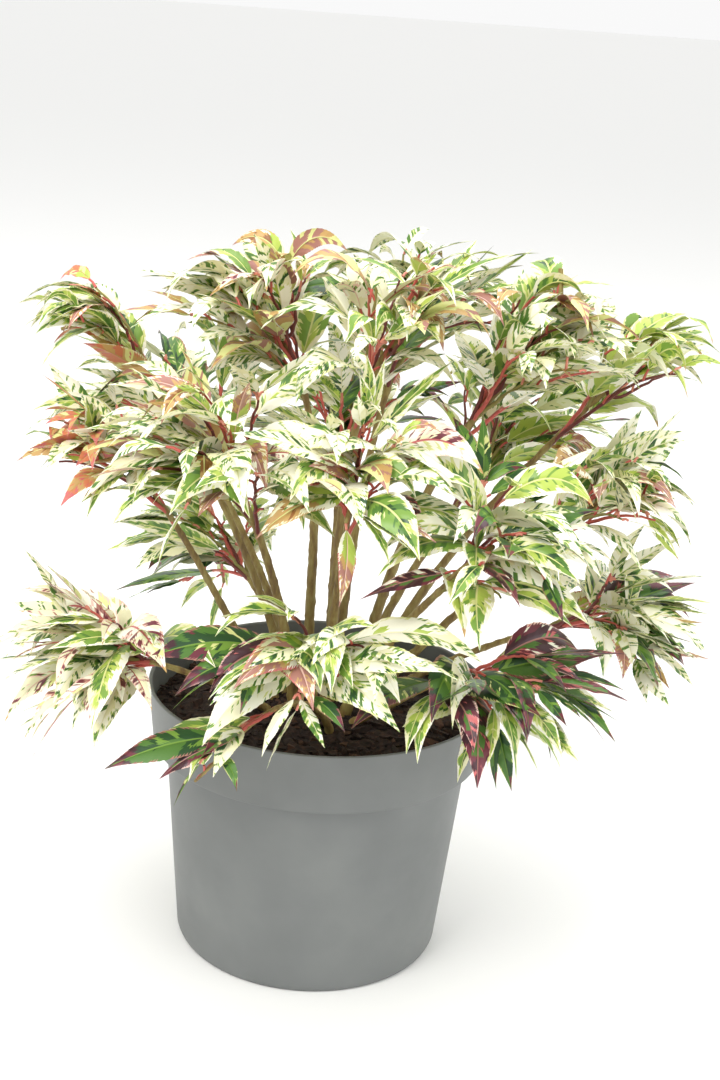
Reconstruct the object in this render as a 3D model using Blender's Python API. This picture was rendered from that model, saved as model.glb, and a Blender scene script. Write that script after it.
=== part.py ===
"""A potted drooping leucothoe: a round plastic nursery pot, its compost, the woody
stems that arch out of it and the masses of foliage that the stems carry.

Units are metres, +Z up. The origin is the middle of the pot's flat underside, and
the front of the plant, with the low shoot that hangs over the rim, faces -Y.
"""

import math

import bmesh
import bpy
from mathutils import Vector, noise
from mathutils.bvhtree import BVHTree

# ---------------------------------------------------------------- driving sizes
POT_HEIGHT = 0.1310  # underside to the top of the rim
RIM_R = 0.0825  # outer radius at the top of the rim band
BAND_R = 0.0794  # outer radius at the foot of the rim band
BAND_Z = 0.1006  # height of the foot of the rim band
WALL_R = 0.0731  # outer radius of the wall just under the band
BASE_R = 0.0646  # outer radius of the wall at the base
WALL_T = 0.0017  # thickness of the moulded wall
FLOOR_T = 0.0030  # thickness of the pot's floor
POT_STEPS = 40  # sides of the round pieces
DRAIN_R = 0.0045  # drain holes in the floor
DRAIN_CIRCLE_R = 0.0460
DRAIN_COUNT = 8

SOIL_Z = 0.1192  # level of the compost round the stems
GAP = 0.0004  # clearance between pieces that touch
MASS_GAP = 0.0016  # clearance between neighbouring foliage masses
STEM_CLEAR = 0.0012  # clearance between a mass and a stem that passes it

RIM_CLEAR_Z = 0.1338  # masses over the pot stay above this
RIM_CLEAR_R = 0.0850  # masses beside the pot stay outside this

STEM_SIDES = 6
STEM_RINGS = 6
CORE = Vector((0.004, 0.012, 0.0))  # the leafless middle that the stems rise in
CORE_R = 0.013

# ---------------------------------------------------------------- the plant
# Each entry is one foliage mass and the stem that carries it:
#   centre, radii        the mass's middle and half sizes
#   foot                 where the stem leaves the compost (x, y)
#   base_r               the stem's radius there
#   rise                 how steeply the stem leaves the compost, 1 is upright
#   over                 "above" keeps the mass over the rim, "beside" outside it
#   tips                 the furthest leaf tips that the mass reaches
PLANT = {
    "left_top": dict(
        centre=(-0.108, 0.014, 0.290), radii=(0.034, 0.036, 0.030),
        foot=(-0.016, 0.012), base_r=0.0021, rise=0.80, over="above",
        tips=[(-0.143, 0.010, 0.292), (-0.084, 0.010, 0.326), (-0.112, 0.012, 0.314)],
    ),
    "left_mid": dict(
        centre=(-0.094, -0.020, 0.240), radii=(0.040, 0.042, 0.029),
        foot=(-0.022, 0.002), base_r=0.0022, rise=0.62, over="above",
        tips=[(-0.145, -0.010, 0.249), (-0.127, -0.030, 0.215), (-0.098, -0.055, 0.224)],
    ),
    "left_low": dict(
        centre=(-0.086, -0.058, 0.160), radii=(0.032, 0.038, 0.034),
        foot=(-0.024, -0.012), base_r=0.0019, rise=0.42, over="beside",
        tips=[(-0.125, -0.060, 0.187), (-0.107, -0.062, 0.095), (-0.089, -0.062, 0.100),
              (-0.057, -0.078, 0.186)],
    ),
    "front_left_low": dict(
        centre=(-0.038, -0.097, 0.136), radii=(0.024, 0.013, 0.016),
        foot=(0.006, -0.030), base_r=0.0017, rise=0.20, over="beside",
        over_rim=[(-0.002, -0.046, 0.148), (-0.020, -0.084, 0.158)],
        tips=[(-0.056, -0.095, 0.113), (-0.017, -0.097, 0.112)],
    ),
    "centre_left": dict(
        centre=(-0.050, -0.050, 0.252), radii=(0.048, 0.050, 0.044),
        foot=(-0.012, -0.006), base_r=0.0026, rise=0.85, over="above",
        tips=[(-0.064, -0.092, 0.232), (-0.030, -0.088, 0.212)],
    ),
    "centre": dict(
        centre=(0.010, -0.060, 0.246), radii=(0.034, 0.036, 0.042),
        foot=(0.002, -0.008), base_r=0.0023, rise=0.80, over="above",
        tips=[(0.006, -0.096, 0.232), (0.012, -0.088, 0.282)],
    ),
    "top_left": dict(
        centre=(-0.035, 0.012, 0.302), radii=(0.040, 0.046, 0.036),
        foot=(-0.007, 0.018), base_r=0.0027, rise=0.95, over="above",
        tips=[(-0.046, 0.000, 0.338), (-0.016, 0.000, 0.344), (-0.074, 0.010, 0.290)],
    ),
    "top_mid": dict(
        centre=(0.026, -0.016, 0.306), radii=(0.042, 0.044, 0.036),
        foot=(0.004, 0.002), base_r=0.0028, rise=1.00, over="above",
        tips=[(0.039, 0.000, 0.352), (0.022, -0.030, 0.340), (0.058, -0.034, 0.326)],
    ),
    "top_right": dict(
        centre=(0.084, -0.012, 0.298), radii=(0.040, 0.044, 0.038),
        foot=(0.016, 0.006), base_r=0.0027, rise=0.88, over="above",
        tips=[(0.098, -0.010, 0.363), (0.106, -0.012, 0.340)],
    ),
    "right_top": dict(
        centre=(0.134, 0.044, 0.282), radii=(0.038, 0.044, 0.034),
        foot=(0.021, 0.019), base_r=0.0024, rise=0.72, over="above",
        tips=[(0.165, 0.050, 0.325), (0.176, 0.056, 0.292), (0.188, 0.050, 0.232)],
    ),
    "right_mid": dict(
        centre=(0.122, 0.000, 0.230), radii=(0.038, 0.046, 0.030),
        foot=(0.024, 0.008), base_r=0.0023, rise=0.60, over="above",
        tips=[(0.158, 0.000, 0.226), (0.141, -0.024, 0.245)],
    ),
    "right_low": dict(
        centre=(0.128, 0.006, 0.170), radii=(0.032, 0.040, 0.028),
        foot=(0.028, 0.012), base_r=0.0020, rise=0.45, over="beside",
        tips=[(0.167, 0.000, 0.177), (0.112, -0.012, 0.092), (0.173, 0.030, 0.132)],
    ),
    "front_right": dict(
        centre=(0.068, -0.070, 0.226), radii=(0.042, 0.046, 0.040),
        foot=(0.012, -0.012), base_r=0.0024, rise=0.70, over="above",
        tips=[(0.038, -0.112, 0.216), (0.104, -0.092, 0.210)],
    ),
    "front_low": dict(
        centre=(0.068, -0.066, 0.168), radii=(0.038, 0.036, 0.026),
        foot=(0.016, -0.020), base_r=0.0018, rise=0.40, over="above",
        tips=[(0.074, -0.078, 0.140), (0.040, -0.086, 0.144), (0.108, -0.052, 0.148)],
    ),
    "front_centre": dict(
        centre=(-0.002, -0.086, 0.180), radii=(0.036, 0.032, 0.028),
        foot=(-0.002, -0.024), base_r=0.0020, rise=0.50, over="above",
        tips=[(-0.009, -0.104, 0.150), (0.027, -0.098, 0.152), (-0.036, -0.098, 0.204)],
    ),
    "top_back": dict(
        centre=(0.034, 0.066, 0.298), radii=(0.052, 0.044, 0.038),
        foot=(0.006, 0.026), base_r=0.0026, rise=0.92, over="above",
        tips=[(0.030, 0.066, 0.342), (0.000, 0.070, 0.336)],
    ),
    "back_left": dict(
        centre=(-0.080, 0.076, 0.236), radii=(0.052, 0.050, 0.048),
        foot=(-0.012, 0.028), base_r=0.0024, rise=0.68, over="above",
        tips=[(-0.134, 0.084, 0.236), (-0.092, 0.116, 0.268)],
    ),
    "back_mid": dict(
        centre=(0.000, 0.108, 0.232), radii=(0.048, 0.046, 0.048),
        foot=(0.002, 0.036), base_r=0.0023, rise=0.66, over="above",
        tips=[(-0.012, 0.158, 0.228), (0.018, 0.150, 0.262)],
    ),
    "back_right": dict(
        centre=(0.084, 0.096, 0.232), radii=(0.050, 0.046, 0.048),
        foot=(0.016, 0.032), base_r=0.0023, rise=0.66, over="above",
        tips=[(0.126, 0.132, 0.228), (0.108, 0.122, 0.268)],
    ),
    "back_low": dict(
        centre=(-0.056, 0.104, 0.158), radii=(0.044, 0.030, 0.034),
        foot=(-0.012, 0.038), base_r=0.0019, rise=0.40, over="beside",
        tips=[(-0.062, 0.136, 0.118), (-0.098, 0.100, 0.142)],
    ),
}

COLOURS = {  # base colour, roughness
    "pot": ((0.22, 0.23, 0.23), 0.50),
    "compost": ((0.030, 0.020, 0.014), 0.95),
    "stem": ((0.30, 0.22, 0.10), 0.60),
    "foliage": ((0.62, 0.63, 0.34), 0.55),
}


def clear_scene():
    for obj in list(bpy.data.objects):
        bpy.data.objects.remove(obj, do_unlink=True)


def material(name):
    found = bpy.data.materials.get(name)
    if found:
        return found
    colour, roughness = COLOURS[name]
    made = bpy.data.materials.new(name)
    made.use_nodes = True
    shader = made.node_tree.nodes["Principled BSDF"]
    shader.inputs["Base Color"].default_value = (*colour, 1.0)
    shader.inputs["Roughness"].default_value = roughness
    shader.inputs["Metallic"].default_value = 0.0
    return made


def add_object(name, bm, finish, smooth_deg=35):
    bmesh.ops.recalc_face_normals(bm, faces=bm.faces)
    mesh = bpy.data.meshes.new(name)
    bm.to_mesh(mesh)
    bm.free()
    mesh.shade_smooth()
    mesh.set_sharp_from_angle(angle=math.radians(smooth_deg))
    mesh.materials.append(material(finish))
    obj = bpy.data.objects.new(name, mesh)
    bpy.context.scene.collection.objects.link(obj)
    return obj


def turned(profile, steps):
    """A closed solid of revolution from a profile (r, z) that starts and ends on the axis."""
    bm = bmesh.new()
    verts = [bm.verts.new((r, 0.0, z)) for r, z in profile]
    edges = [bm.edges.new(pair) for pair in zip(verts, verts[1:])]
    bmesh.ops.spin(
        bm, geom=verts + edges, cent=(0, 0, 0), axis=(0, 0, 1),
        angle=2 * math.pi, steps=steps, use_merge=True, use_duplicate=False,
    )
    bmesh.ops.remove_doubles(bm, verts=bm.verts, dist=1e-6)
    return bm


# ---------------------------------------------------------------- pot
def make_pot():
    inner = WALL_T
    profile = [
        (0.0, 0.0),
        (BASE_R - 0.0020, 0.0),
        (BASE_R, 0.0022),
        (WALL_R, BAND_Z),
        (BAND_R - 0.0006, BAND_Z),
        (BAND_R, BAND_Z + 0.0010),
        (RIM_R, POT_HEIGHT - 0.0010),
        (RIM_R - 0.0008, POT_HEIGHT),
        (RIM_R - inner - 0.0002, POT_HEIGHT - 0.0004),
        (BAND_R - inner, BAND_Z + 0.0024),
        (WALL_R - inner, BAND_Z - 0.0010),
        (BASE_R - inner, FLOOR_T),
        (0.0, FLOOR_T),
    ]
    pot = add_object("pot", turned(profile, POT_STEPS), "pot", 30)
    cutters = bmesh.new()
    for k in range(DRAIN_COUNT):
        turn = 2 * math.pi * (k + 0.5) / DRAIN_COUNT
        made = bmesh.ops.create_cone(
            cutters, cap_ends=True, segments=10,
            radius1=DRAIN_R, radius2=DRAIN_R, depth=0.012,
        )
        bmesh.ops.translate(
            cutters, verts=made["verts"],
            vec=(DRAIN_CIRCLE_R * math.cos(turn), DRAIN_CIRCLE_R * math.sin(turn), 0.002),
        )
    cutter = add_object("drain_cutter", cutters, "pot")
    cutter.hide_render = True
    cutter.display_type = "WIRE"
    cut = pot.modifiers.new("drain_holes", "BOOLEAN")
    cut.operation = "DIFFERENCE"
    cut.solver = "EXACT"
    cut.object = cutter
    return pot


# ---------------------------------------------------------------- compost
def soil_height(x, y):
    """Level round the stems, gently uneven towards the wall."""
    r = math.hypot(x, y)
    share = min(1.0, max(0.0, (r - 0.046) / 0.020))
    bump = noise.noise(Vector((x, y, 0.3)) * 55.0) * 0.0022
    return SOIL_Z + share * (bump - 0.0006)


def make_compost():
    steps = POT_STEPS // 2
    bm = bmesh.new()
    gap = GAP + 0.0002
    slope = (RIM_R - BAND_R) / (POT_HEIGHT - BAND_Z)
    top_r = BAND_R - WALL_T + slope * (SOIL_Z - BAND_Z - 0.004) - gap
    rings = [(0.022, None), (0.046, None), (0.058, None), (0.068, None), (top_r - 0.0004, None)]
    lower = [
        (BAND_R - WALL_T - gap, BAND_Z + 0.0034),
        (WALL_R - WALL_T - gap, BAND_Z - 0.0014),
        (BASE_R - WALL_T - gap, FLOOR_T + gap),
    ]
    made = []
    for radius, z in rings + lower:
        ring = []
        for k in range(steps):
            turn = 2 * math.pi * k / steps
            x, y = radius * math.cos(turn), radius * math.sin(turn)
            ring.append(bm.verts.new((x, y, soil_height(x, y) if z is None else z)))
        made.append(ring)
    middle = bm.verts.new((0, 0, SOIL_Z))
    bottom = bm.verts.new((0, 0, FLOOR_T + gap))
    for k in range(steps):
        j = (k + 1) % steps
        bm.faces.new((middle, made[0][k], made[0][j]))
        for a, b in zip(made, made[1:]):
            bm.faces.new((a[k], b[k], b[j], a[j]))
        bm.faces.new((bottom, made[-1][j], made[-1][k]))
    return add_object("compost", bm, "compost", 40)


# ---------------------------------------------------------------- foliage masses
def radius_towards(radii, d):
    return 1.0 / math.sqrt(sum((d[k] / radii[k]) ** 2 for k in range(3)))


def planes_for(name):
    """Planes (normal, offset) that the mass stays on the inner side of: n.p <= offset."""
    spec = PLANT[name]
    centre = Vector(spec["centre"])
    planes = []
    for other, their in PLANT.items():
        if other == name:
            continue
        towards = Vector(their["centre"]) - centre
        length = towards.length
        n = towards / length
        mine = radius_towards(spec["radii"], n)
        yours = radius_towards(their["radii"], n)
        at = length * mine / (mine + yours) - MASS_GAP / 2
        planes.append((n, n.dot(centre) + at))
    out = Vector((centre.x, centre.y, 0.0)).normalized()
    if spec["over"] == "above":
        planes.append((Vector((0, 0, -1)), -RIM_CLEAR_Z))
    else:
        planes.append((-out, -RIM_CLEAR_R))
    aside = Vector((centre.x - CORE.x, centre.y - CORE.y, 0.0))
    if aside.length > CORE_R + 0.008:
        n = -aside.normalized()
        planes.append((n, n.dot(CORE) - CORE_R))
    return planes + stem_planes(name)


def stem_planes(name):
    """Planes that keep the mass clear of the stems that pass it on their way to others."""
    spec = PLANT[name]
    centre = Vector(spec["centre"])
    planes = []
    for other, their in PLANT.items():
        if other == name:
            continue
        path = stem_path(other)
        end = Vector(their["centre"])
        for k in range(41):
            at = bezier(path, k / 40)
            inward = end - at
            if inward.length < 0.75 * radius_towards(their["radii"], inward.normalized()):
                break
            away = at - centre
            clear = their["base_r"] * (1.0 - 0.3 * k / 40) + STEM_CLEAR
            if away.length < 0.075:
                n = away.normalized()
                planes.append((n, n.dot(at) - clear))
    return planes


def reach(name, d, planes):
    """Distance from the mass's centre to its surface in direction d."""
    spec = PLANT[name]
    centre = Vector(spec["centre"])
    seed = Vector((centre.x * 40, centre.y * 40, centre.z * 40))
    r = radius_towards(spec["radii"], d)
    r *= 0.97 + 0.30 * noise.noise(d * 2.1 + seed) + 0.26 * noise.noise(d * 4.3 - seed)
    for tip in spec["tips"]:
        to_tip = Vector(tip) - centre
        angle = d.angle(to_tip.normalized())
        r = max(r, r + (to_tip.length - r) * math.exp(-((angle / 0.30) ** 2)))
    for n, offset in planes:
        facing = n.dot(d)
        if facing > 1e-6:
            r = min(r, (offset - n.dot(centre)) / facing)
    return max(r, 0.004)


def make_mass(name):
    spec = PLANT[name]
    centre = Vector(spec["centre"])
    planes = planes_for(name)
    bm = bmesh.new()
    bmesh.ops.create_icosphere(bm, subdivisions=3, radius=1.0)
    bm.verts.ensure_lookup_table()
    directions = [v.co.normalized() for v in bm.verts]
    for tip in spec["tips"]:  # the nearest corner is turned to meet each tip exactly
        aim = (Vector(tip) - centre).normalized()
        nearest = min(range(len(directions)), key=lambda k: directions[k].angle(aim))
        directions[nearest] = aim
    for v, d in zip(bm.verts, directions):
        v.co = centre + d * reach(name, d, planes)
    return add_object("foliage_" + name, bm, "foliage", 60)


# ---------------------------------------------------------------- stems
def bezier(p, t):
    a, b, c, d = p
    u = 1 - t
    return a * u**3 + b * (3 * u * u * t) + c * (3 * u * t * t) + d * t**3


def stem_path(name):
    """Control points of the stem: out of the compost, then over towards the mass."""
    spec = PLANT[name]
    foot = Vector((*spec["foot"], SOIL_Z + GAP))
    centre = Vector(spec["centre"])
    if "over_rim" in spec:  # a low shoot that lies across the rim and hangs outside it
        first, second = (Vector(p) for p in spec["over_rim"])
        return foot, first, second, centre
    out = Vector((centre.x - foot.x, centre.y - foot.y, 0.0))
    span = (centre - foot).length
    flat = out.normalized() if out.length > 1e-6 else Vector((0, 0, 0))
    rise = spec["rise"]
    first = foot + (flat * (1 - rise) + Vector((0, 0, 1)) * rise).normalized() * span * 0.38
    back = (flat * 0.55 + Vector((0, 0, 0.55 if rise > 0.5 else 0.10))) * span * 0.34
    return foot, first, centre - back, centre


def stem_stop(path, tree, base_r):
    """The share of the path where the stem is just short of its mass."""
    for k in range(8, 400):
        if tree.find_nearest(bezier(path, k / 400), base_r + GAP)[0] is not None:
            return (k - 1) / 400
    return 0.6


def make_stem(name, mass):
    spec = PLANT[name]
    path = stem_path(name)
    tree = BVHTree.FromPolygons(
        [v.co for v in mass.data.vertices], [f.vertices[:] for f in mass.data.polygons]
    )
    stop = stem_stop(path, tree, spec["base_r"])
    bm = bmesh.new()
    rings = []
    for k in range(STEM_RINGS + 1):
        t = stop * k / STEM_RINGS
        at = bezier(path, t)
        ahead = (bezier(path, t + 0.01) - bezier(path, max(0.0, t - 0.01))).normalized()
        if k == 0:
            ahead = Vector((0, 0, 1))  # the flat cut at the level of the compost
        side = ahead.cross(Vector((0.31, -0.95, 0.02))).normalized()
        other = ahead.cross(side).normalized()
        share = k / STEM_RINGS
        radius = spec["base_r"] * (1.0 - 0.36 * share)
        radius *= 1.0 + 0.45 * math.exp(-share / 0.07)  # root flare
        rings.append([
            bm.verts.new(at + (side * math.cos(a) + other * math.sin(a)) * radius)
            for a in (2 * math.pi * j / STEM_SIDES for j in range(STEM_SIDES))
        ])
    for a, b in zip(rings, rings[1:]):
        for j in range(STEM_SIDES):
            i = (j + 1) % STEM_SIDES
            bm.faces.new((a[j], a[i], b[i], b[j]))
    bm.faces.new(rings[0][::-1])
    bm.faces.new(rings[-1])
    return add_object("stem_" + name, bm, "stem", 60)


def main():
    clear_scene()
    make_pot()
    make_compost()
    for name in PLANT:
        make_stem(name, make_mass(name))


main()
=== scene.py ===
"""Looks of the potted drooping leucothoe: bark, twigs, petioles and flecked leaves
grown on from the CAD stems by a seeded rule, the pot, the compost, light and camera."""

import math
import random

import bpy
import numpy as np
from mathutils import Matrix, Vector


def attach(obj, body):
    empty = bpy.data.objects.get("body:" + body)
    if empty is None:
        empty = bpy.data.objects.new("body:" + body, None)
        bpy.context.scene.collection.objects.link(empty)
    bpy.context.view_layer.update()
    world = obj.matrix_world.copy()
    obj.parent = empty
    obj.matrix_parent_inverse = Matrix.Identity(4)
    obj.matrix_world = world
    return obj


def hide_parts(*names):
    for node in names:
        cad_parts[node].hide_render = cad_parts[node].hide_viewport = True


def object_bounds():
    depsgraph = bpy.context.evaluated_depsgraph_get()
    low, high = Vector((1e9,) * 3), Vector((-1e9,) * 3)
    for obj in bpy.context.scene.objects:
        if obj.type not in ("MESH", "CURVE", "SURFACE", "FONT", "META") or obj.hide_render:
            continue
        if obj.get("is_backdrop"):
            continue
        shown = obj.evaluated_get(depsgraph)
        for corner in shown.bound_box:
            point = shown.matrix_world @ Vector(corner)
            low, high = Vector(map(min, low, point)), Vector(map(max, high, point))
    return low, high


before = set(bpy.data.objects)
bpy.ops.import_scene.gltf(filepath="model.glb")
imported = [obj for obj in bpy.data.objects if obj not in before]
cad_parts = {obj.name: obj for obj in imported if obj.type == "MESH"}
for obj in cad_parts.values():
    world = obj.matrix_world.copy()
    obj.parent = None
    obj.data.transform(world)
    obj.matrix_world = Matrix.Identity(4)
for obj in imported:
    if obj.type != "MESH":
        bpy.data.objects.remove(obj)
CAD_LOW, CAD_HIGH = (np.array(v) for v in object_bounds())
SEED = 20417

# ---------------------------------------------------------------- camera
PITCH, ROLL = math.radians(18.11), math.radians(4.11)
EYE = np.array([0.0138, -0.7260, 0.4414])
FOCAL_PX = 1632.25
LENS_MM = 54.41
FWD = np.array([0.0, math.cos(PITCH), -math.sin(PITCH)])
UP = np.array([0.0, math.sin(PITCH), math.cos(PITCH)])
RIGHT = np.array([1.0, 0.0, 0.0])


def from_pixel(px, py, y):
    """The point at depth y (metres, +Y away from the viewer) seen at a pixel of 720 x 1080."""
    u, v = px - 360.0, py - 540.0
    cr, sr = math.cos(ROLL), math.sin(ROLL)
    u, v = u * cr + v * sr, -u * sr + v * cr
    ray = FWD + RIGHT * (u / FOCAL_PX) - UP * (v / FOCAL_PX)
    return EYE + ray * ((y - EYE[1]) / ray[1])


def to_pixel(points):
    """Pixels (720 x 1080) and depths along the view of points (..., 3)."""
    d = np.asarray(points, float) - EYE
    depth = d @ FWD
    u, v = FOCAL_PX * (d @ RIGHT) / depth, -FOCAL_PX * (d @ UP) / depth
    cr, sr = math.cos(ROLL), math.sin(ROLL)
    return 360 + u * cr - v * sr, 540 + u * sr + v * cr, depth


# ---------------------------------------------------------------- sizes shared with the CAD
POT_HEIGHT = 0.1310
RIM_R, BAND_R, BAND_Z = 0.0825, 0.0794, 0.1006
WALL_R, BASE_R, WALL_T, FLOOR_T = 0.0731, 0.0646, 0.0017, 0.0030
DRAIN_R, DRAIN_CIRCLE_R, DRAIN_COUNT = 0.0045, 0.0460, 8
SOIL_Z, GAP = 0.1192, 0.0004

# centre, half sizes, foot, radius at the foot, rise, tips, number of side shoots, leaf kinds
MIXES = {
    "bright": dict(cream=4, centre=3, copper=2, under=1, burgundy=0.3, rosy=0.6),
    "copper": dict(copper=4, orange=2, centre=3, cream=2),
    "orange": dict(orange=3, copper=2, centre=3, cream=3),
    "white": dict(rosy=4, cream=4, centre=1),
    "lime": dict(lime=5, centre=3, cream=2),
    "fleck": dict(cream=5, centre=2, lime=1, dark=1, copper=0.6, burgundy=0.3),
    "dark": dict(dark=4, centre=3, burgundy=2, cream=1),
    "low": dict(centre=3, cream=3, burgundy=1, dark=2, copper=1),
    "back": dict(cream=4, centre=4, copper=1, dark=2, lime=1),
}
PLANT = {
    "left_top": dict(c=(-0.108, 0.014, 0.290), r=(0.034, 0.036, 0.030), foot=(-0.016, 0.012), base=0.0021, rise=0.80,
                     tips=[(-0.143, 0.010, 0.292), (-0.084, 0.010, 0.326)], n=5, mix="copper"),
    "left_mid": dict(c=(-0.094, -0.020, 0.240), r=(0.040, 0.042, 0.029), foot=(-0.022, 0.002), base=0.0022, rise=0.62,
                     tips=[(-0.145, -0.010, 0.249), (-0.127, -0.030, 0.215)], n=6, mix="orange"),
    "left_low": dict(c=(-0.086, -0.058, 0.160), r=(0.032, 0.038, 0.034), foot=(-0.024, -0.012), base=0.0019, rise=0.42,
                     tips=[(-0.125, -0.060, 0.187), (-0.107, -0.062, 0.095)], n=9, mix="white"),
    "front_left_low": dict(c=(-0.038, -0.097, 0.136), r=(0.024, 0.013, 0.016), foot=(0.006, -0.030), base=0.0017, rise=0.20,
                           over=[(-0.002, -0.046, 0.148), (-0.020, -0.084, 0.158)],
                           tips=[(-0.056, -0.095, 0.113)], n=2, mix="dark"),
    "centre_left": dict(c=(-0.050, -0.050, 0.252), r=(0.048, 0.050, 0.044), foot=(-0.012, -0.006), base=0.0026, rise=0.85,
                        tips=[(-0.064, -0.092, 0.232), (-0.030, -0.088, 0.212)], n=10, mix="bright"),
    "centre": dict(c=(0.010, -0.060, 0.246), r=(0.034, 0.036, 0.042), foot=(0.002, -0.008), base=0.0023, rise=0.80,
                   tips=[(0.006, -0.096, 0.232), (0.012, -0.088, 0.282)], n=8, mix="bright"),
    "top_left": dict(c=(-0.035, 0.012, 0.302), r=(0.040, 0.046, 0.036), foot=(-0.007, 0.018), base=0.0027, rise=0.95,
                     tips=[(-0.046, 0.000, 0.338), (-0.016, 0.000, 0.344)], n=9, mix="bright"),
    "top_mid": dict(c=(0.026, -0.016, 0.306), r=(0.042, 0.044, 0.036), foot=(0.004, 0.002), base=0.0028, rise=1.00,
                    tips=[(0.039, 0.000, 0.352), (0.022, -0.030, 0.340)], n=9, mix="bright"),
    "top_right": dict(c=(0.084, -0.012, 0.298), r=(0.040, 0.044, 0.038), foot=(0.016, 0.006), base=0.0027, rise=0.88,
                      tips=[(0.098, -0.010, 0.363), (0.106, -0.012, 0.340)], n=9, mix="bright"),
    "right_top": dict(c=(0.134, 0.044, 0.282), r=(0.038, 0.044, 0.034), foot=(0.021, 0.019), base=0.0024, rise=0.72,
                      tips=[(0.165, 0.050, 0.325), (0.176, 0.056, 0.292)], n=7, mix="lime"),
    "right_mid": dict(c=(0.122, 0.000, 0.230), r=(0.038, 0.046, 0.030), foot=(0.024, 0.008), base=0.0023, rise=0.60,
                      tips=[(0.158, 0.000, 0.226), (0.141, -0.024, 0.245)], n=8, mix="fleck"),
    "right_low": dict(c=(0.128, 0.006, 0.170), r=(0.032, 0.040, 0.028), foot=(0.028, 0.012), base=0.0020, rise=0.45,
                      tips=[(0.167, 0.000, 0.177), (0.112, -0.012, 0.092)], n=9, mix="fleck"),
    "front_right": dict(c=(0.068, -0.070, 0.226), r=(0.042, 0.046, 0.040), foot=(0.012, -0.012), base=0.0024, rise=0.70,
                        tips=[(0.038, -0.112, 0.216), (0.104, -0.092, 0.210)], n=9, mix="fleck"),
    "front_low": dict(c=(0.068, -0.066, 0.168), r=(0.038, 0.036, 0.026), foot=(0.016, -0.020), base=0.0018, rise=0.40,
                      tips=[(0.074, -0.078, 0.140), (0.040, -0.086, 0.144)], n=8, mix="dark"),
    "front_centre": dict(c=(-0.002, -0.086, 0.180), r=(0.036, 0.032, 0.028), foot=(-0.002, -0.024), base=0.0020, rise=0.50,
                         tips=[(-0.009, -0.104, 0.150), (0.027, -0.098, 0.152)], n=7, mix="low"),
    "top_back": dict(c=(0.034, 0.066, 0.298), r=(0.052, 0.044, 0.038), foot=(0.006, 0.026), base=0.0026, rise=0.92,
                     tips=[(0.030, 0.066, 0.342), (0.000, 0.070, 0.336)], n=10, mix="back"),
    "back_left": dict(c=(-0.080, 0.076, 0.236), r=(0.052, 0.050, 0.048), foot=(-0.012, 0.028), base=0.0024, rise=0.68,
                      tips=[(-0.134, 0.084, 0.236), (-0.092, 0.116, 0.268)], n=11, mix="back"),
    "back_mid": dict(c=(0.000, 0.108, 0.232), r=(0.048, 0.046, 0.048), foot=(0.002, 0.036), base=0.0023, rise=0.66,
                     tips=[(-0.012, 0.158, 0.228), (0.018, 0.150, 0.262)], n=10, mix="back"),
    "back_right": dict(c=(0.084, 0.096, 0.232), r=(0.050, 0.046, 0.048), foot=(0.016, 0.032), base=0.0023, rise=0.66,
                       tips=[(0.126, 0.132, 0.228), (0.108, 0.122, 0.268)], n=11, mix="back"),
    "back_low": dict(c=(-0.056, 0.104, 0.158), r=(0.044, 0.030, 0.034), foot=(-0.012, 0.038), base=0.0019, rise=0.40,
                     tips=[(-0.062, 0.136, 0.118), (-0.098, 0.100, 0.142)], n=9, mix="back"),
}
GROUPS = {  # which masses each leaf piece stands for
    "leaves_left": ["left_top", "left_mid", "left_low", "front_left_low"],
    "leaves_centre": ["centre_left", "centre", "front_centre"],
    "leaves_top": ["top_left", "top_mid", "top_right"],
    "leaves_right": ["right_top", "right_mid", "right_low"],
    "leaves_front": ["front_right", "front_low"],
    "leaves_back_left": ["back_left", "back_low", "top_back"],
    "leaves_back_right": ["back_mid", "back_right"],
}
GROUP_OF = {mass: group for group, masses in GROUPS.items() for mass in masses}
CROWN = np.array([0.008, 0.010, 0.200])


# ---------------------------------------------------------------- small maths
def unit(v):
    v = np.asarray(v, float)
    return v / max(1e-9, float(np.linalg.norm(v)))


def across(v, along):
    """v without its part along a direction, as a unit vector."""
    along = unit(along)
    v = np.asarray(v, float)
    rest = v - along * float(v @ along)
    if np.linalg.norm(rest) < 1e-6:
        rest = np.cross(along, [0.31, -0.95, 0.02])
    return unit(rest)


def bezier(p, t):
    u = 1 - t
    return p[0] * u**3 + p[1] * (3 * u * u * t) + p[2] * (3 * u * t * t) + p[3] * t**3


def smoothstep(a, b, x):
    t = np.clip((x - a) / (b - a), 0.0, 1.0)
    return t * t * (3 - 2 * t)


LATTICE = np.random.RandomState(SEED).rand(256, 256)


def noise2(x, y):
    """Smooth value noise, 0 to 1."""
    xi, yi = np.floor(x).astype(int), np.floor(y).astype(int)
    fx, fy = x - xi, y - yi
    fx, fy = fx * fx * (3 - 2 * fx), fy * fy * (3 - 2 * fy)
    a, b = LATTICE[xi % 256, yi % 256], LATTICE[(xi + 1) % 256, yi % 256]
    c, d = LATTICE[xi % 256, (yi + 1) % 256], LATTICE[(xi + 1) % 256, (yi + 1) % 256]
    return (a * (1 - fx) + b * fx) * (1 - fy) + (c * (1 - fx) + d * fx) * fy


# ---------------------------------------------------------------- plain colours
def linear(rgb):
    out = []
    for c in rgb:
        c = c / 255.0
        out.append(c / 12.92 if c <= 0.04045 else ((c + 0.055) / 1.055) ** 2.4)
    return out


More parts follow.
